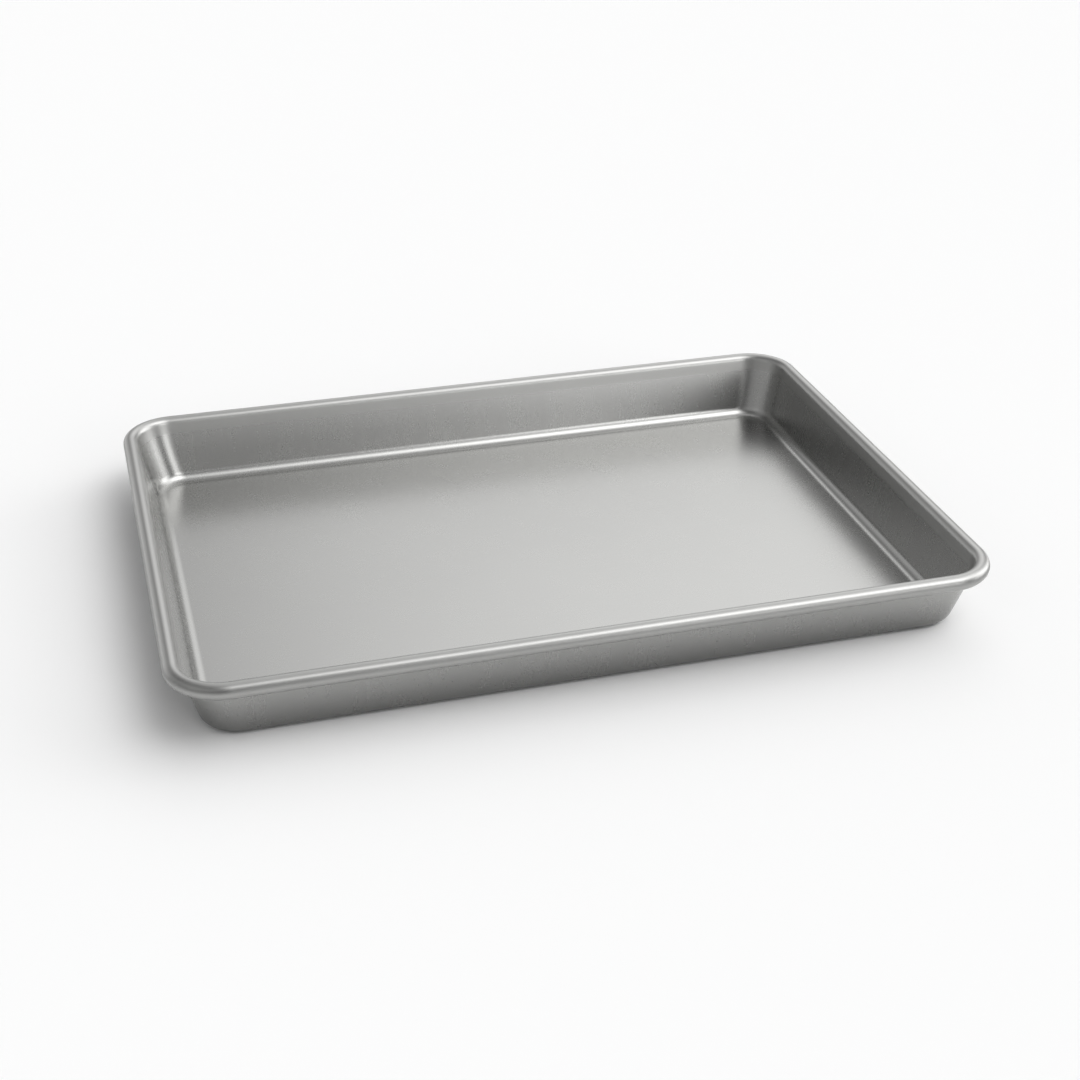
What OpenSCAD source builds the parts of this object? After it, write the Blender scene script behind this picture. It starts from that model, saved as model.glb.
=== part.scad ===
// Jelly roll pan: a shallow rectangular tray drawn from one sheet of steel,
// with its edge rolled outwards over a stiffening wire.
// The origin is at the centre of the base. X runs along the pan and Z is up.

/* [Outline] */
// Length over the rolled rim
pan_length = 330; // [240:1:450]
// Width over the rolled rim
pan_width = 241; // [170:1:350]
// Height from the underside of the floor to the top of the rim
pan_height = 29.6; // [18:0.1:50]
// Radius in plan of the flat floor's corners
floor_corner_radius = 5.5; // [3:0.5:40]

/* [Sheet] */
// Thickness of the steel sheet
sheet_thickness = 0.8; // [0.5:0.1:1.5]
// Lean of the walls away from upright, in degrees
wall_draft = 14.1; // [3:0.1:30]
// Inside radius where the walls turn into the floor
floor_fillet = 5; // [1.5:0.1:8]

/* [Rolled rim] */
// Diameter of the wire inside the rim
wire_diameter = 4.7; // [2.5:0.1:7]
// Clearance all round between the wire and the rolled sheet
wire_clearance = 0.1; // [0.05:0.05:0.3]
// Gap between the sheet's free edge and the outside of the wall
edge_gap = 0.4; // [0.1:0.1:1]
// Gap between the two cut ends of the wire, at the middle of the back
wire_joint_gap = 1; // [0.5:0.1:5]

/* [Hidden] */
$fn = 96;

// The bead is the sheet closed round the wire
curl_inner_radius = wire_diameter / 2 + wire_clearance;
bead_radius = curl_inner_radius + sheet_thickness;
bead_centre_height = pan_height - bead_radius;

// Angle round the bead that the sheet leaves open, between its free edge and the wall
open_angle = acos((curl_inner_radius - edge_gap) / bead_radius);

// The floor bend turns about a centre at the edge of the flat floor
bend_centre_height = sheet_thickness + floor_fillet;
// From that centre, outwards square to the wall and then up along it, to the bead's centre
bead_offset = floor_fillet + sheet_thickness + curl_inner_radius;
wall_length = (bead_centre_height - bend_centre_height + bead_offset * sin(wall_draft))
    / cos(wall_draft);

// Each corner turns about an upright axis, at the centre of the floor's corner arc
rim_corner_radius = floor_corner_radius
    + bead_offset * cos(wall_draft) + wall_length * sin(wall_draft) + bead_radius;
corner_x = pan_length / 2 - rim_corner_radius;
corner_y = pan_width / 2 - rim_corner_radius;

// The sheet bent into a full ring
module sheet_ring(inner_radius) {
    difference() {
        circle(r = inner_radius + sheet_thickness);
        circle(r = inner_radius);
    }
}

// Section frame at the centre of the floor bend, where x runs outwards and y up
module at_floor_bend() {
    translate([floor_corner_radius, bend_centre_height]) children();
}

// Section frame leant over with the wall, at the centre of the bead
module at_bead() {
    at_floor_bend() rotate(-wall_draft) translate([bead_offset, wall_length]) children();
}

// The quarter turn, less the wall's lean, that joins floor and wall
module floor_bend() {
    reach = 2 * (floor_fillet + sheet_thickness);
    at_floor_bend() difference() {
        sheet_ring(floor_fillet);
        translate([-reach, -reach]) square([reach, 2 * reach]);
        rotate(-wall_draft) translate([-reach, 0]) square([2 * reach, reach]);
    }
}

// The curl round the wire, from the top of the wall to its free edge
module curl() {
    reach = 2 * bead_radius;
    at_bead() difference() {
        sheet_ring(curl_inner_radius);
        polygon([[0, 0], [-reach, 0], [-reach, -reach],
            [-reach * cos(open_angle), -reach * sin(open_angle)]]);
    }
}

// The sheet in section, from a corner's axis out to the rolled edge
module sheet_section() {
    square([floor_corner_radius, sheet_thickness]);
    floor_bend();
    at_floor_bend() rotate(-wall_draft)
        translate([floor_fillet, 0]) square([sheet_thickness, wall_length]);
    curl();
}

// Carries a section round one corner and half of the two sides that meet there
module round_a_corner() {
    translate([corner_x, corner_y, 0]) {
        rotate_extrude(angle = 90) children();
        rotate([90, 0, 0]) linear_extrude(height = corner_y) children();
        translate([-corner_x, 0, 0])
            rotate([90, 0, 90]) linear_extrude(height = corner_x) children();
    }
}

// Repeats one quarter of the pan in all four
module four_quarters() {
    for (x_side = [0, 1], y_side = [0, 1])
        mirror([x_side, 0, 0]) mirror([0, y_side, 0]) children();
}

// One drawn sheet: floor, walls and the curl that closes over the wire
module pan_body() {
    color("silver") four_quarters() {
        cube([corner_x, corner_y, sheet_thickness]);
        round_a_corner() sheet_section();
    }
}

// The wire hoop inside the curl, cut where its two ends meet
module rim_wire() {
    cut_size = 2 * wire_diameter;
    color("dimgray") difference() {
        four_quarters() round_a_corner() at_bead() circle(d = wire_diameter);
        translate([
            -wire_joint_gap / 2,
            pan_width / 2 - bead_radius - cut_size / 2,
            bead_centre_height - cut_size / 2
        ]) cube([wire_joint_gap, cut_size, cut_size]);
    }
}

pan_body();
rim_wire();
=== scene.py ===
"""Jelly roll pan: the dressed model, its studio and its camera.

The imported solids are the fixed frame. The drawn sheet is modelled again here with rounded cut edges,
the slight unevenness of pressed steel and a satin finish, and the wire inside the rim is dressed.
Everything is in metres: X runs along the pan, Y across it and Z up, from the middle of its base.
"""

import logging
import math
from dataclasses import dataclass, field
from enum import Enum
from typing import Any

import bmesh
import bpy
from mathutils import Matrix, Vector, noise


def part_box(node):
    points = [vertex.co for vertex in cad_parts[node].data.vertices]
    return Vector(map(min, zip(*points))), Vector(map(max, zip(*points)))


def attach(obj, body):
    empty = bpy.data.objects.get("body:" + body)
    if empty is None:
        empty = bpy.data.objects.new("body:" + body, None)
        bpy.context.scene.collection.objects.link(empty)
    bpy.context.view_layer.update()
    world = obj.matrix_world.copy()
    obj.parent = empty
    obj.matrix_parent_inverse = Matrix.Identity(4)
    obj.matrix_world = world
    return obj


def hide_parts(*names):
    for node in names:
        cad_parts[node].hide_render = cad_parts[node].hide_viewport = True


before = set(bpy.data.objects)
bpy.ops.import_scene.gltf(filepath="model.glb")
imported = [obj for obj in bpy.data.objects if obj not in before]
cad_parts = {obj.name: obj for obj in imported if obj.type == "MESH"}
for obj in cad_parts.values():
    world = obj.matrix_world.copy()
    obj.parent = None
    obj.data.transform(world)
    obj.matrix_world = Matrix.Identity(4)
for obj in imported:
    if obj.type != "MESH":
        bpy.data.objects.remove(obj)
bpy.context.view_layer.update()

MM = 0.001
# Vertices that lie closer than this are one vertex
MERGE = 1e-6
# Noise keeps near its middle, so its swing is stretched by this
NOISE_GAIN = 3.0
LOG = logging.getLogger("jelly_roll_pan")


def even(size: float) -> tuple[float, float, float]:
    """The same size along all three coordinates."""
    return (size, size, size)


def add_piece(name: str, bm: bmesh.types.BMesh, material: bpy.types.Material) -> bpy.types.Object:
    """Turns a bmesh into an object of the scene.

    Args:
        name: Name of the object and its mesh.
        bm: The shape, which is freed.
        material: The piece's only material.

    Returns:
        The object, at the origin.
    """
    mesh = bpy.data.meshes.new(name)
    bm.to_mesh(mesh)
    bm.free()
    mesh.materials.append(material)
    piece = bpy.data.objects.new(name, mesh)
    bpy.context.scene.collection.objects.link(piece)
    return piece


class Sock:
    """A shader socket that turns Python arithmetic into Math nodes."""

    def __init__(self, graph: "Graph", socket: bpy.types.NodeSocket | None) -> None:
        """Wraps a socket.

        Args:
            graph: The graph that new nodes go into.
            socket: The output socket to read, or None behind a node that has no output.
        """
        self.graph = graph
        self.socket = socket

    def math(self, operation: str, *others: Any) -> "Sock":
        """Adds one Math node.

        Args:
            operation: The node's operation.
            others: The further operands, numbers or sockets.

        Returns:
            The node's result.
        """
        operands = dict(enumerate((self, *others)))
        return self.graph.node("ShaderNodeMath", {"operation": operation}, operands)

    def __add__(self, other: Any) -> "Sock":
        """Sum."""
        return self.math("ADD", other)

    def __radd__(self, other: Any) -> "Sock":
        """Sum with a number on the left."""
        return self.math("ADD", other)

    def __sub__(self, other: Any) -> "Sock":
        """Difference."""
        return self.math("SUBTRACT", other)

    def __rsub__(self, other: float) -> "Sock":
        """Difference from a number on the left."""
        return self.graph.node(
            "ShaderNodeMath", {"operation": "SUBTRACT"}, {0: other, 1: self}
        )

    def __mul__(self, other: Any) -> "Sock":
        """Product."""
        return self.math("MULTIPLY", other)

    def __rmul__(self, other: Any) -> "Sock":
        """Product with a number on the left."""
        return self.math("MULTIPLY", other)

    def band(self, low: float, high: float, start: float = 0.0, end: float = 1.0) -> "Sock":
        """A smooth step from start to end as the value goes from low to high.

        Args:
            low: Value at which the step begins.
            high: Value at which the step ends.
            start: Result at and below low.
            end: Result at and above high.

        Returns:
            The stepped value.
        """
        return self.graph.node(
            "ShaderNodeMapRange",
            {"interpolation_type": "SMOOTHSTEP"},
            {"Value": self, "From Min": low, "From Max": high, "To Min": start, "To Max": end},
        )


class Graph:
    """A node tree under construction."""

    def __init__(self, tree: bpy.types.NodeTree) -> None:
        """Empties the tree.

        Args:
            tree: The node tree to build in.
        """
        self.tree = tree
        tree.nodes.clear()

    def node(
        self,
        kind: str,
        settings: dict[str, Any] | None = None,
        inputs: dict[int | str, Any] | None = None,
        output: int | str = 0,
    ) -> Sock:
        """Adds a node of any kind.

        Args:
            kind: The node's type.
            settings: Properties set before the sockets are, with a ramp's stops under "stops".
            inputs: Numbers, colours or sockets for the node's inputs, by name or place.
            output: The output that is returned, by name or place.

        Returns:
            The chosen output.
        """
        made = self.tree.nodes.new(kind)
        for name, value in (settings or {}).items():
            if name == "stops":
                self._set_stops(made.color_ramp, value)
            else:
                setattr(made, name, value)
        for key, value in (inputs or {}).items():
            if isinstance(value, Sock):
                self.tree.links.new(value.socket, made.inputs[key])
            else:
                made.inputs[key].default_value = value
        return Sock(self, made.outputs[output] if made.outputs else None)

    @staticmethod
    def _set_stops(ramp: bpy.types.ColorRamp, stops: list[tuple[float, float]]) -> None:
        """Sets a ramp's stops.

        Args:
            ramp: The ramp.
            stops: Position and grey level of each stop.
        """
        while len(ramp.elements) < len(stops):
            ramp.elements.new(1.0)
        for element, (position, level) in zip(ramp.elements, stops):
            element.position = position
            element.color = (level, level, level, 1.0)

    def clouds(
        self,
        where: Sock,
        size: tuple[float, float, float],
        detail: float,
        rough: float = 0.5,
        turn: float = 0.0,
    ) -> Sock:
        """Noise that swings about 0, from roughly -1 to 1.

        Args:
            where: Coordinates in metres.
            size: Size of the largest blots along the three coordinates, in metres.
            detail: How many finer layers are added.
            rough: How strong the finer layers are.
            turn: Turn of the pattern about Z, in radians.

        Returns:
            The noise value.
        """
        laid = self.node(
            "ShaderNodeMapping",
            {"vector_type": "TEXTURE"},
            {"Vector": where, "Rotation": (0.0, 0.0, turn), "Scale": size},
        )
        value = self.node(
            "ShaderNodeTexNoise",
            {"noise_dimensions": "3D"},
            {"Vector": laid, "Scale": 1.0, "Detail": detail, "Roughness": rough},
            "Fac",
        )
        return (value - 0.5) * NOISE_GAIN

    def metal(
        self, colour: tuple[float, float, float], light: Sock, roughness: Sock, relief: Sock
    ) -> None:
        """Ends a material's graph in bare metal.

        Args:
            colour: The metal's linear colour.
            light: Factor on the colour.
            roughness: Roughness from 0 to 1.
            relief: Height of the surface, in metres.
        """
        tint = self.node(
            "ShaderNodeVectorMath", {"operation": "SCALE"}, {0: colour, "Scale": light}
        )
        bump = self.node(
            "ShaderNodeBump", {}, {"Strength": 1.0, "Distance": 1.0, "Height": relief}, "Normal"
        )
        shader = self.node(
            "ShaderNodeBsdfPrincipled",
            {},
            {"Base Color": tint, "Metallic": 1.0, "Roughness": roughness, "Normal": bump},
        )
        self.node("ShaderNodeOutputMaterial", {}, {"Surface": shader})

    def ramp(self, value: Sock, stops: list[tuple[float, float]]) -> Sock:
        """A grey level read off a ramp.

        Args:
            value: Place on the ramp, from 0 to 1.
            stops: Position and grey level of each stop.

        Returns:
            The level.
        """
        return self.node("ShaderNodeValToRGB", {"stops": stops}, {0: value})


def new_material(name: str) -> tuple[bpy.types.Material, Graph]:
    """Makes an empty material.

    Args:
        name: The material's name.

    Returns:
        The material and its graph.
    """
    material = bpy.data.materials.new(name)
    material.use_nodes = True
    return material, Graph(material.node_tree)


@dataclass(frozen=True)
class SatinSteel:
    """Satin plated sheet steel: cloudy, finely grained, polished a little where it is handled.

    Colour is linear. Sizes, depths and heights are in metres, and turns in radians. Tints and
    shades are shares of the colour, and polish, dulling and swings change the roughness. A pair of
    levels, runs or thresholds is where one look begins and where it has fully given way to the
    next. The bead's levels count from the rim's middle, and the painted foot shade's runs from the
    foot. The shades are painted shade: a darker outer foot with a painted contact shadow, and a
    painted dark reflection line round the outside of the rim.
    """

    colour: tuple[float, float, float] = (0.394, 0.394, 0.386)
    roughness: float = 0.27
    cloud_size: float = 0.016
    drift_size: float = 0.080
    cloud_tint: float = 0.016
    cloud_swing: float = 0.008
    grain_size: float = 0.0009
    grain_depth: float = 0.0000002
    grain_swing: float = 0.006
    mark_length: float = 0.05
    mark_tint: float = 0.005
    mark_swing: float = 0.008
    rolling_width: float = 0.0007
    rolling_depth: float = 0.00000025
    draw_mark_width: float = 0.0020
    draw_mark_depth: float = 0.00000035
    bead_line_width: float = 0.0008
    bead_line_depth: float = 0.00000014
    ripple_size: float = 0.014
    ripple_length: float = 0.06
    ripple_depth: float = 0.0000060
    hairline_size: tuple[float, float, float] = (0.030, 0.0005, 0.030)
    hairline_turns: tuple[float, float] = (0.35, -0.95)
    hairline_threshold: float = 0.92
    hairline_tint: float = 0.015
    hairline_swing: float = 0.01
    fleck_size: float = 0.0013
    fleck_thresholds: tuple[float, float] = (1.05, 1.35)
    fleck_tint: float = 0.008
    fleck_swing: float = 0.02
    wall_levels: tuple[float, float] = (3.0 * MM, 7.0 * MM)
    bead_levels: tuple[float, float] = (-4.0 * MM, -2.0 * MM)
    bead_dulling: float = 0.10
    rub_height: float = 2.4 * MM
    rub_tint: float = 0.03
    rub_polish: float = 0.005
    # Painted shade: the wall's outside darkens towards its foot, with a painted contact shadow at the
    # bend into the base
    painted_foot_shade: float = 0.45
    painted_foot_shade_runs: tuple[float, float] = (-18.0 * MM, 6.0 * MM)
    painted_contact_line: float = 0.42
    painted_contact_line_runs: tuple[float, float] = (1.0 * MM, 6.0 * MM)
    painted_shade_end_runs: tuple[float, float] = (6.5 * MM, 8.5 * MM)
    # Painted reflection: a dark line painted round the outer face of the rim
    painted_reflection_shade: float = 0.38
    painted_reflection_reach: float = 1.6 * MM

    def build(
        self, name: str, rim_level: float, foot: float, painted_reflection_line: float
    ) -> bpy.types.Material:
        """Builds the finish.

        Args:
            name: The material's name.
            rim_level: Height of the rolled rim's middle, in metres.
            foot: Run across the sheet at which the outside of the wall bends into the base.
            painted_reflection_line: Run of the dark line painted round the rim, a painted reflection.

        Returns:
            The material.
        """
        material, g = new_material(name)
        place = g.node("ShaderNodeTexCoord", {}, {}, "Object")
        lay = g.node("ShaderNodeAttribute", {"attribute_name": "sheet_lay"}, {}, "Vector")
        run = g.node("ShaderNodeSeparateXYZ", {}, {0: lay}, "Z")
        height = g.node("ShaderNodeSeparateXYZ", {}, {0: place}, "Z")
        above_rim = height - rim_level
        on_wall = height.band(*self.wall_levels)
        on_bead = above_rim.band(*self.bead_levels)
        rubbed = above_rim.band(0.0, self.rub_height)

        clouds = g.clouds(place, even(self.cloud_size), detail=3.0)
        drift = g.clouds(place, even(self.drift_size), detail=1.0)
        grain = g.clouds(place, even(self.grain_size), detail=2.0, rough=0.6)
        rolling_size = (self.mark_length, self.rolling_width, self.mark_length)
        rolling = g.clouds(place, rolling_size, detail=1.0) * (1.0 - on_wall)
        mark_size = (self.draw_mark_width, self.draw_mark_width, self.mark_length)
        marks = g.clouds(lay, mark_size, detail=2.0, rough=0.6) * on_wall * (1.0 - on_bead)
        ripple_size = (self.ripple_size, self.ripple_size, self.ripple_length)
        ripple = g.clouds(lay, ripple_size, detail=1.0) * on_wall
        line_size = (self.mark_length, self.mark_length, self.bead_line_width)
        lines = g.clouds(lay, line_size, detail=1.0) * on_bead
        flecks = g.clouds(place, even(self.fleck_size), detail=0.0)
        flecks = flecks.band(*self.fleck_thresholds)
        one_way, other_way = (self._hairlines(g, place, turn) for turn in self.hairline_turns)
        hairlines = (one_way + other_way) * (1.0 - on_wall)

        light = 1.0 + (clouds + drift) * self.cloud_tint + (marks + lines + rolling) * self.mark_tint
        light = light - (flecks * self.fleck_tint + hairlines * self.hairline_tint)
        # Painted shade at the wall's outer foot and the painted dark reflection line round the rim
        # take away colour
        light = (light + rubbed * self.rub_tint) * (1.0 - self._painted_shade(run, foot, painted_reflection_line))
        rough = self.roughness + clouds * self.cloud_swing + grain * self.grain_swing
        rough = rough + (marks + lines) * self.mark_swing + flecks * self.fleck_swing
        rough = rough + hairlines * self.hairline_swing - rubbed * self.rub_polish
        rough = rough + on_bead * self.bead_dulling
        relief = grain * self.grain_depth + rolling * self.rolling_depth
        relief = relief + marks * self.draw_mark_depth + lines * self.bead_line_depth
        relief = relief + ripple * self.ripple_depth
        g.metal(self.colour, light, rough, relief)
        return material

    def _painted_shade(self, run: Sock, foot: float, painted_reflection_line: float) -> Sock:
        """Painted shade at the wall's outer foot, and the painted dark reflection line round the rim.

        Args:
            run: Run across the sheet.
            foot: Run at which the outside of the wall bends into the base.
            painted_reflection_line: Run of the painted dark reflection line round the rim.

        Returns:
            The share of the colour that is lost.
        """
        # Painted shade towards the wall's outer foot and a painted contact shadow at the bend, fading
        # out on the flat base
        past_foot = run - foot
        shade = past_foot.band(*self.painted_foot_shade_runs) * self.painted_foot_shade
        shade = shade + past_foot.band(*self.painted_contact_line_runs) * self.painted_contact_line
        shade = shade * past_foot.band(*self.painted_shade_end_runs, 1.0, 0.0)
        # The painted dark reflection line round the rim
        aside = (run - painted_reflection_line).math("ABSOLUTE")
        return shade + aside.band(0.0, self.painted_reflection_reach, self.painted_reflection_shade, 0.0)

    def _hairlines(self, g: Graph, place: Sock, turn: float) -> Sock:
        """Sparse fine scratches that lie one way.

        Args:
            g: The finish's graph.
            place: Coordinates in metres.
            turn: Their direction about Z, in radians.

        Returns:
            1 on a scratch and 0 elsewhere.
        """
        drawn = g.clouds(place, self.hairline_size, detail=0.0, turn=turn)
        return g.ramp(drawn, [(0.0, 0.0), (self.hairline_threshold, 0.0), (1.0, 1.0)])


@dataclass(frozen=True)
class DrawnWire:
    """Dull grey drawn wire with fine lines along it, in the same terms as the sheet's finish."""

    colour: tuple[float, float, float] = (0.42, 0.42, 0.41)
    roughness: float = 0.42
    stain_size: float = 0.012
    stain_tint: float = 0.10
    stain_swing: float = 0.05
    line_size: float = 0.0009
    line_tint: float = 0.04
    line_depth: float = 0.00001

    def build(self, name: str) -> bpy.types.Material:
        """Builds the finish.

        Args:
            name: The material's name.

        Returns:
            The material.
        """
        material, g = new_material(name)
        place = g.node("ShaderNodeTexCoord", {}, {}, "Object")
        stain = g.clouds(place, even(self.stain_size), detail=3.0)
        lines = g.clouds(place, even(self.line_size), detail=2.0)
        light = 1.0 + stain * self.stain_tint + lines * self.line_tint
        rough = self.roughness + stain * self.stain_swing
        g.metal(self.colour, light, rough, lines * self.line_depth)
        return material


@dataclass
class PanBody:
    """The one drawn sheet: floor, leaning walls and the curl closed over the wire.

    The outer sizes come from the solids. The rest repeats the part's named sizes, in metres, and
    adds how far the sheet departs from the plain form. Steps are numbers of edges, a lead is the
    short step with which a flat stretch meets a curve, and the swell's rates are per metre. The
    foot and the painted dark reflection line round the rim are runs across the sheet, known once
    its section is drawn.
    """

    half_length: float
    half_width: float
    height: float
    wire_radius: float
    sheet: float = 0.8 * MM
    draft: float = math.radians(14.1)
    floor_fillet: float = 5.0 * MM
    floor_corner: float = 5.5 * MM
    wire_clearance: float = 0.1 * MM
    edge_gap: float = 0.4 * MM
    # Turn round the curl, from the top of the wall, at which the painted dark reflection line lies
    painted_reflection_turn: float = math.radians(144.0)
    corner_ease: float = 5.0 * MM
    ease_power: float = 1.5
    crown: float = 0.12 * MM
    waviness: float = 0.04 * MM
    swell_rates: tuple[float, float] = (24.0, 70.0)
    side_power: int = 8
    lead: float = 0.25 * MM
    corner_steps: int = 20
    long_steps: int = 40
    short_steps: int = 30
    floor_steps: int = 3
    bend_steps: int = 12
    wall_steps: int = 8
    bead_steps: int = 40
    inner_bead_steps: int = 30
    edge_steps: int = 6
    finish: SatinSteel = field(default_factory=SatinSteel)
    foot: float = field(init=False)
    painted_reflection_line: float = field(init=False)

    def __post_init__(self) -> None:
        """Works out the sizes that follow from the named ones."""
        self.curl_inner = self.wire_radius + self.wire_clearance
        self.bead_radius = self.curl_inner + self.sheet
        self.bend_centre = Vector((self.floor_corner, 0.0, self.sheet + self.floor_fillet))
        self.out = Vector((math.cos(self.draft), 0.0, -math.sin(self.draft)))
        self.up = Vector((math.sin(self.draft), 0.0, math.cos(self.draft)))
        offset = self.floor_fillet + self.sheet + self.curl_inner
        bead_height = self.height - self.bead_radius
        rise = bead_height - self.bend_centre.z + offset * math.sin(self.draft)
        self.wall_length = rise / math.cos(self.draft)
        self.bead_centre = self.bend_centre + self.out * offset + self.up * self.wall_length
        self.corner_x = self.half_length - self.bead_centre.x - self.bead_radius
        self.corner_y = self.half_width - self.bead_centre.x - self.bead_radius

    def _runs(self, total: float, steps: int, at_start: bool, at_end: bool) -> list[float]:
        """Divides a flat stretch evenly, with a short step where it meets a curve.

        Args:
            total: Length of the stretch.
            steps: Number of even steps.
            at_start: Whether it leaves a curve.
            at_end: Whether it meets one.

        Returns:
            The steps, in order.
        """
        step = (total - self.lead * (at_start + at_end)) / steps
        return [self.lead] * at_start + [step] * steps + [self.lead] * at_end

    def _straight(
        self, bm: bmesh.types.BMesh, start: bmesh.types.BMVert, way: Vector, runs: list[float]
    ) -> bmesh.types.BMVert:
        """Draws a straight stretch of the section.

        Args:
            bm: The mesh.
            start: Vertex to start from.
            way: Direction, of length 1.
            runs: The steps along it.

        Returns:
            The last vertex.
        """
        for run in runs:
            start = bmesh.ops.extrude_vert_indiv(bm, verts=[start])["verts"][0]
            bmesh.ops.translate(bm, verts=[start], vec=way * run)
        return start

    def _arc(
        self, bm: bmesh.types.BMesh, start: bmesh.types.BMVert, centre: Vector, turn: float, steps: int
    ) -> bmesh.types.BMVert:
        """Draws an arc of the section.

        Args:
            bm: The mesh.
            start: Vertex to start from.
            centre: The arc's centre.
            turn: Turn in radians, anticlockwise with X to the right and Z up.
            steps: Number of edges.

        Returns:
            The last vertex.
        """
        spun = bmesh.ops.spin(
            bm, geom=[start], cent=centre, axis=(0.0, -1.0, 0.0), angle=turn, steps=steps
        )
        return next(part for part in spun["geom_last"] if isinstance(part, bmesh.types.BMVert))

    def draw_section(self, bm: bmesh.types.BMesh) -> list[bmesh.types.BMEdge]:
        """Draws the sheet's section outwards from a corner's axis and back along its other face.

        Args:
            bm: The mesh, still empty.

        Returns:
            The section's edges, in order.
        """
        outwards = Vector((1.0, 0.0, 0.0))
        bend_turn = math.pi / 2 - self.draft
        edge_radius = self.sheet / 2
        mid_radius = self.curl_inner + edge_radius
        open_turn = math.acos((self.curl_inner - self.edge_gap) / self.bead_radius)
        curl_turn = 2 * math.pi - open_turn - edge_radius / mid_radius
        floor_runs = self._runs(self.floor_corner, self.floor_steps, False, True)
        wall_runs = self._runs(self.wall_length, self.wall_steps, True, True)
        tip = bmesh.ops.create_vert(bm, co=(0.0, 0.0, self.sheet))["vert"][0]
        tip = self._straight(bm, tip, outwards, floor_runs)
        tip = self._arc(bm, tip, self.bend_centre, bend_turn, self.bend_steps)
        tip = self._straight(bm, tip, self.up, wall_runs)
        tip = self._arc(bm, tip, self.bead_centre, -curl_turn, self.bead_steps)
        edge_centre = self.bead_centre.lerp(tip.co, mid_radius / self.bead_radius)
        tip = self._arc(bm, tip, edge_centre, -math.pi, self.edge_steps)
        tip = self._arc(bm, tip, self.bead_centre, curl_turn, self.inner_bead_steps)
        tip = self._straight(bm, tip, -self.up, wall_runs)
        tip = self._arc(bm, tip, self.bend_centre, -bend_turn, self.bend_steps)
        self._straight(bm, tip, -outwards, floor_runs[::-1])
        run = bm.verts.layers.float.new("run")
        bm.verts.ensure_lookup_table()
        travelled = 0.0
        for before, after in zip(bm.verts[:-1], bm.verts[1:]):
            travelled += (after.co - before.co).length
            after[run] = travelled
        # Run of the painted dark reflection line round the outside of the rim
        self.painted_reflection_line = self.floor_corner + self.floor_fillet * bend_turn + self.wall_length
        self.painted_reflection_line += self.bead_radius * self.painted_reflection_turn
        self.foot = travelled - self.floor_corner - (self.floor_fillet + self.sheet) * bend_turn
        return list(bm.edges)

    @staticmethod
    def _carry(
        bm: bmesh.types.BMesh, edges: list[bmesh.types.BMEdge], way: Vector, runs: list[float]
    ) -> None:
        """Carries a row of edges along a straight side.

        Args:
            bm: The mesh.
            edges: The edges where the side begins.
            way: Direction, of length 1.
            runs: The steps along it.
        """
        for run in runs:
            grown = bmesh.ops.extrude_edge_only(bm, edges=edges)["geom"]
            verts = [part for part in grown if isinstance(part, bmesh.types.BMVert)]
            edges = [part for part in grown if isinstance(part, bmesh.types.BMEdge)]
            edges = [edge for edge in edges if all(vert in verts for vert in edge.verts)]
            bmesh.ops.translate(bm, verts=verts, vec=way * run)

    def build_mesh(self) -> bmesh.types.BMesh:
        """Builds the whole sheet.

        Returns:
            The mesh, closed and with its faces outwards.
        """
        bm = bmesh.new()
        # One quarter: a corner, and half of each of the two sides that meet there
        section = self.draw_section(bm)
        spun = bmesh.ops.spin(
            bm,
            geom=bm.verts[:] + section,
            cent=(0.0, 0.0, 0.0),
            axis=(0.0, 0.0, 1.0),
            angle=math.pi / 2,
            steps=self.corner_steps,
        )
        turned = [part for part in spun["geom_last"] if isinstance(part, bmesh.types.BMEdge)]
        along_x = self._runs(self.corner_x, self.long_steps, True, False)
        along_y = self._runs(self.corner_y, self.short_steps, True, False)
        inwards_y = Vector((0.0, -1.0, 0.0))
        self._carry(bm, section, inwards_y, along_y)
        self._carry(bm, turned, Vector((-1.0, 0.0, 0.0)), along_x)
        # The quarter's share of the flat middle of the floor, above and below
        floor_edges = [edge for edge in bm.edges if self._at_floor_rim(edge)]
        self._carry(bm, floor_edges, inwards_y, along_y)
        self._ease_corner(bm)
        bmesh.ops.translate(bm, verts=bm.verts[:], vec=(self.corner_x, self.corner_y, 0.0))
        # The other three quarters
        for axis in ("X", "Y"):
            bmesh.ops.mirror(
                bm,
                geom=bm.verts[:] + bm.edges[:] + bm.faces[:],
                matrix=Matrix.Identity(4),
                merge_dist=MERGE,
                axis=axis,
            )
        bmesh.ops.remove_doubles(bm, verts=bm.verts[:], dist=MERGE)
        bmesh.ops.dissolve_degenerate(bm, edges=bm.edges[:], dist=MERGE)
        bmesh.ops.recalc_face_normals(bm, faces=bm.faces[:])
        self._mark_lay(bm)
        self._settle(bm)
        self._put_in_order(bm)
        return bm

    @staticmethod
    def _at_floor_rim(edge: bmesh.types.BMEdge) -> bool:
        """Whether an edge of the quarter's long side borders the flat middle of the floor."""
        ends = [v.co for v in edge.verts]
        return all(abs(end.y) < MERGE and end.x < MERGE for end in ends) and ends[0].z == ends[1].z

    def _ease_corner(self, bm: bmesh.types.BMesh) -> None:
        """Rounds the quarter's corner more and more towards its foot, as drawn corners are.

        Args:
            bm: The quarter, with its corner's axis at the origin.
        """
        for v in bm.verts:
            low = 1.0 - min(1.0, v.co.z / (self.height - self.bead_radius))
            fade = (1.0 + min(0.0, v.co.x) / self.corner_x) * (1.0 + min(0.0, v.co.y) / self.corner_y)
            ease = self.corner_ease * low**self.ease_power * fade
            spoke = Vector((max(0.0, v.co.x), max(0.0, v.co.y), 0.0))
            grown = spoke * (ease / max(self.floor_corner, spoke.length))
            v.co += grown - Vector((ease, ease, 0.0))

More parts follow.
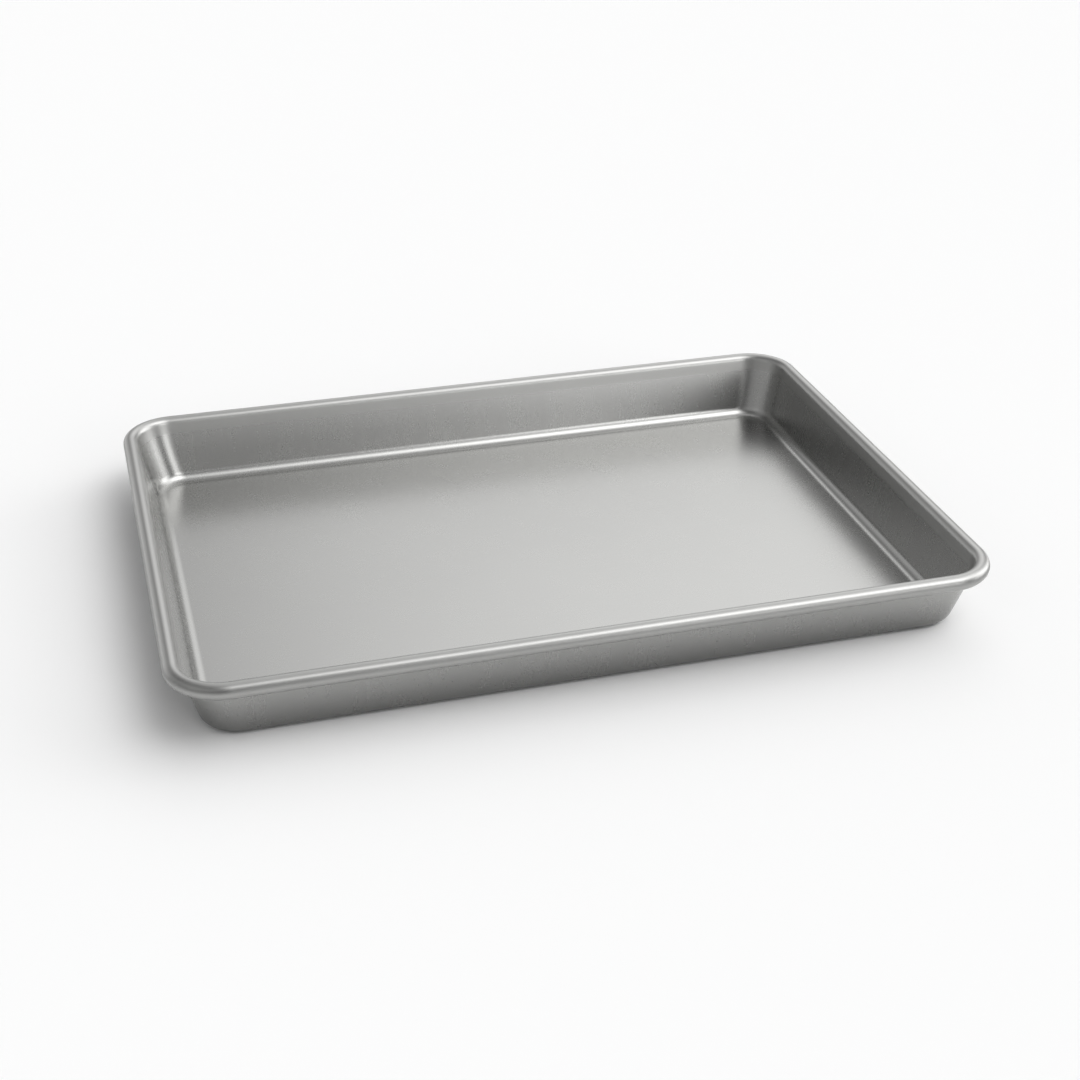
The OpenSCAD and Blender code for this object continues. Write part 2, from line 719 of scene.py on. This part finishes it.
    def _mark_lay(self, bm: bmesh.types.BMesh) -> None:
        """Stores where each vertex lies on the sheet: its place round the rim, and its run across it.

        Args:
            bm: The whole sheet, whose vertices hold their run.
        """
        run = bm.verts.layers.float.get("run")
        lay = bm.verts.layers.float_vector.new("sheet_lay")
        reach = self.floor_corner + self.floor_fillet
        for v in bm.verts:
            foot = Vector((min(abs(v.co.x), self.corner_x), min(abs(v.co.y), self.corner_y)))
            past = Vector((abs(v.co.x), abs(v.co.y))) - foot
            if past.length > MERGE:
                foot += past.normalized() * reach
            v[lay] = (math.copysign(foot.x, v.co.x), math.copysign(foot.y, v.co.y), v[run])
        bm.verts.layers.float.remove(run)

    def _settle(self, bm: bmesh.types.BMesh) -> None:
        """Gives the sheet the faint crown and unevenness of pressed steel, inside the true outline.

        Args:
            bm: The whole sheet.
        """
        power = self.side_power
        for v in bm.verts:
            away = Vector((v.co.x / self.half_length, v.co.y / self.half_width))
            middle = max(0.0, 1.0 - away.x**2) * max(0.0, 1.0 - away.y**2)
            on_floor = v.co.z < 1.5 * self.sheet
            lift = self.crown * middle if on_floor else 0.0
            broad, fine = (noise.noise(v.co * rate) for rate in self.swell_rates)
            # The swell stays between 0 and 1, so that the walls only move inwards
            swell = 0.5 + 0.35 * broad + 0.15 * fine
            # It begins a quarter of the way up and is full from three quarters
            high = min(1.0, max(0.0, v.co.z / self.height - 0.25) * 2.0)
            inwards = (math.copysign(part**power, -part) for part in away)
            side = Vector((*inwards, 0.0))
            v.co += Vector((0.0, 0.0, lift)) + side * (self.waviness * swell * high)

    @staticmethod
    def _put_in_order(bm: bmesh.types.BMesh) -> None:
        """Numbers the mesh's elements by their place, so that each run gives the same mesh.

        Args:
            bm: The finished mesh.
        """
        slant = Vector((1.0, math.sqrt(2.0), math.sqrt(3.0)))
        bm.verts.sort(key=lambda vert: vert.co.dot(slant))
        bm.edges.sort(key=lambda edge: (edge.verts[0].co + edge.verts[1].co).dot(slant))
        bm.faces.sort(key=lambda face: face.calc_center_median().dot(slant))

    def make(self) -> bpy.types.Object:
        """Makes the piece and dresses it.

        Returns:
            The finished piece.
        """
        bm = self.build_mesh()
        rim_level = self.height - self.bead_radius
        steel = self.finish.build("satin_steel", rim_level, self.foot, self.painted_reflection_line)
        piece = add_piece("drawn_sheet", bm, steel)
        piece.data.shade_smooth()
        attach(piece, "root")
        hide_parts("pan_body")
        return piece


@dataclass
class RimWire:
    """The wire hoop inside the curl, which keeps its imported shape."""

    finish: DrawnWire = field(default_factory=DrawnWire)

    def make(self) -> bpy.types.Object:
        """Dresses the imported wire.

        Returns:
            The wire's object.
        """
        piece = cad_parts["rim_wire"]
        material = self.finish.build("drawn_wire")
        for slot in piece.material_slots:
            slot.material = material
        return piece


class GlowShape(Enum):
    """How a glow spreads over the studio's surroundings."""

    SPOT = "a round patch"
    HORIZON = "a band all round, at the horizon"


@dataclass(frozen=True)
class Glow:
    """One soft part of the studio's surroundings.

    Azimuth turns from +Y towards +X and elevation is above the horizon, in degrees. The level is
    added at the glow's middle and fades out over the reach, also in degrees. A band at the
    horizon keeps its full level up to the hold. The name goes on the glow's node.
    """

    name: str
    level: float
    azimuth: float = 0.0
    elevation: float = 0.0
    reach: float = 26.0
    shape: GlowShape = GlowShape.SPOT
    hold: float = 0.0

    def direction(self) -> Vector:
        """The direction of its middle."""
        turn, lift = math.radians(self.azimuth), math.radians(self.elevation)
        flat = math.cos(lift)
        return Vector((math.sin(turn) * flat, math.cos(turn) * flat, math.sin(lift)))

    def build(self, g: Graph, way: Sock) -> Sock:
        """Adds the glow to the surroundings.

        Args:
            g: The surroundings' graph.
            way: The direction looked in.

        Returns:
            The glow's level in that direction.
        """
        reach = math.radians(self.reach)
        if self.shape is GlowShape.HORIZON:
            rise = g.node("ShaderNodeSeparateXYZ", {}, {0: way}, "Z")
            hold = math.radians(self.hold)
            glow = rise.band(math.sin(hold), math.sin(reach), self.level, 0.0)
        else:
            facing = g.node(
                "ShaderNodeVectorMath",
                {"operation": "DOT_PRODUCT"},
                {0: way, 1: self.direction()},
                "Value",
            )
            glow = facing.band(math.cos(reach), 1.0, 0.0, self.level)
        glow.socket.node.label = self.name
        return glow


@dataclass
class Studio:
    """A pale floor under soft light.

    The base level is the fill that comes from everywhere. Levels are the strength of the
    surroundings, where 1 is white, and the floor's size is in metres.
    """

    floor_size: float = 100.0
    floor_tone: float = 0.915
    base_level: float = 0.1
    glows: tuple[Glow, ...] = (
        Glow("pale backdrop", 0.80, reach=5.0, shape=GlowShape.HORIZON, hold=2.9),
        Glow("small softbox, right front", 3.35, 155.0, 16.0, 16.0),
        Glow("low softbox, right", 2.92, 90.0, 5.0, 40.0),
        Glow("high softbox, right front", 2.20, 130.0, 56.0),
        Glow("card, right", 1.49, 90.0, 45.0),
        Glow("card, right front", 1.26, 150.0, 45.0),
        Glow("card, back", 0.98, 20.0, 25.0),
        Glow("overhead card, right front", 0.93, 140.0, 68.0),
        Glow("high sheet, right back", 0.90, 30.0, 55.0, 40.0),
        Glow("low sheet, left back", 0.72, 330.0, 5.0, 40.0),
        Glow("overhead card, left", 0.20, 300.0, 68.0),
        Glow("sheet, right back", 0.42, 60.0, 30.0, 40.0),
        Glow("low card, front", 0.41, 165.0, 8.0),
        Glow("sheet, left front", 0.42, 225.0, 26.0, 40.0),
        Glow("sheet, left", 0.35, 272.0, 26.0, 40.0),
    )

    def make(self) -> bpy.types.Object:
        """Makes the surroundings and the floor.

        Returns:
            The floor.
        """
        self._make_world()
        material, g = new_material("pale_floor")
        shader = g.node("ShaderNodeBsdfDiffuse", {}, {"Color": (*even(self.floor_tone), 1.0)})
        g.node("ShaderNodeOutputMaterial", {}, {"Surface": shader})
        bm = bmesh.new()
        bmesh.ops.create_grid(bm, x_segments=1, y_segments=1, size=self.floor_size / 2)
        floor = add_piece("studio_floor", bm, material)
        return floor

    def _make_world(self) -> None:
        """Makes the surroundings that light the pan and that it mirrors."""
        world = bpy.data.worlds.new("studio")
        bpy.context.scene.world = world
        world.use_nodes = True
        g = Graph(world.node_tree)
        way = g.node("ShaderNodeTexCoord", {}, {}, "Generated")
        level = self.base_level
        for glow in self.glows:
            level = glow.build(g, way) + level
        light = g.node("ShaderNodeBackground", {}, {"Color": (1.0, 1.0, 1.0, 1.0), "Strength": level})
        g.node("ShaderNodeOutputWorld", {}, {"Surface": light})


@dataclass(frozen=True)
class ProductCamera:
    """The photograph's viewpoint.

    The turn is from +Y towards +X and the tilt is downwards, in degrees. The focal length is in
    pixels of the photograph, and the sensor's width in millimetres.
    """

    place: tuple[float, float, float] = (-0.17909, -0.65038, 0.37349)
    turn: float = 15.808
    tilt: float = 28.658
    roll: float = 0.152
    focal_pixels: float = 1755.7
    frame_pixels: float = 1080.0
    sensor: float = 36.0
    clip: tuple[float, float] = (0.01, 200.0)

    def make(self) -> bpy.types.Object:
        """Makes the camera.

        Returns:
            The camera's object.
        """
        data = bpy.data.cameras.new("product_camera")
        data.sensor_width = self.sensor
        data.lens = self.sensor * self.focal_pixels / self.frame_pixels
        data.clip_start, data.clip_end = self.clip
        camera = bpy.data.objects.new("product_camera", data)
        bpy.context.scene.collection.objects.link(camera)
        turn, tilt = math.radians(self.turn), math.radians(self.tilt)
        ahead = Vector(
            (math.sin(turn) * math.cos(tilt), math.cos(turn) * math.cos(tilt), -math.sin(tilt))
        )
        facing = ahead.to_track_quat("-Z", "Y")
        spin = Matrix.Rotation(math.radians(self.roll), 4, "Z")
        camera.matrix_world = Matrix.Translation(self.place) @ facing.to_matrix().to_4x4() @ spin
        bpy.context.scene.camera = camera
        return camera


def main() -> None:
    """Builds the pan, the studio and the camera, and reports each piece."""
    logging.basicConfig(level=logging.INFO, format="%(name)s: %(message)s")
    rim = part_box("pan_body")[1]
    wire_low, wire_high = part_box("rim_wire")
    pan_body = PanBody(rim.x, rim.y, rim.z, (wire_high.z - wire_low.z) / 2)
    for builder in (pan_body, RimWire(), Studio(), ProductCamera()):
        piece = builder.make()
        LOG.info("made %s", piece.name)
    bpy.context.scene.view_settings.view_transform = "Standard"


if __name__ == "__main__":
    main()
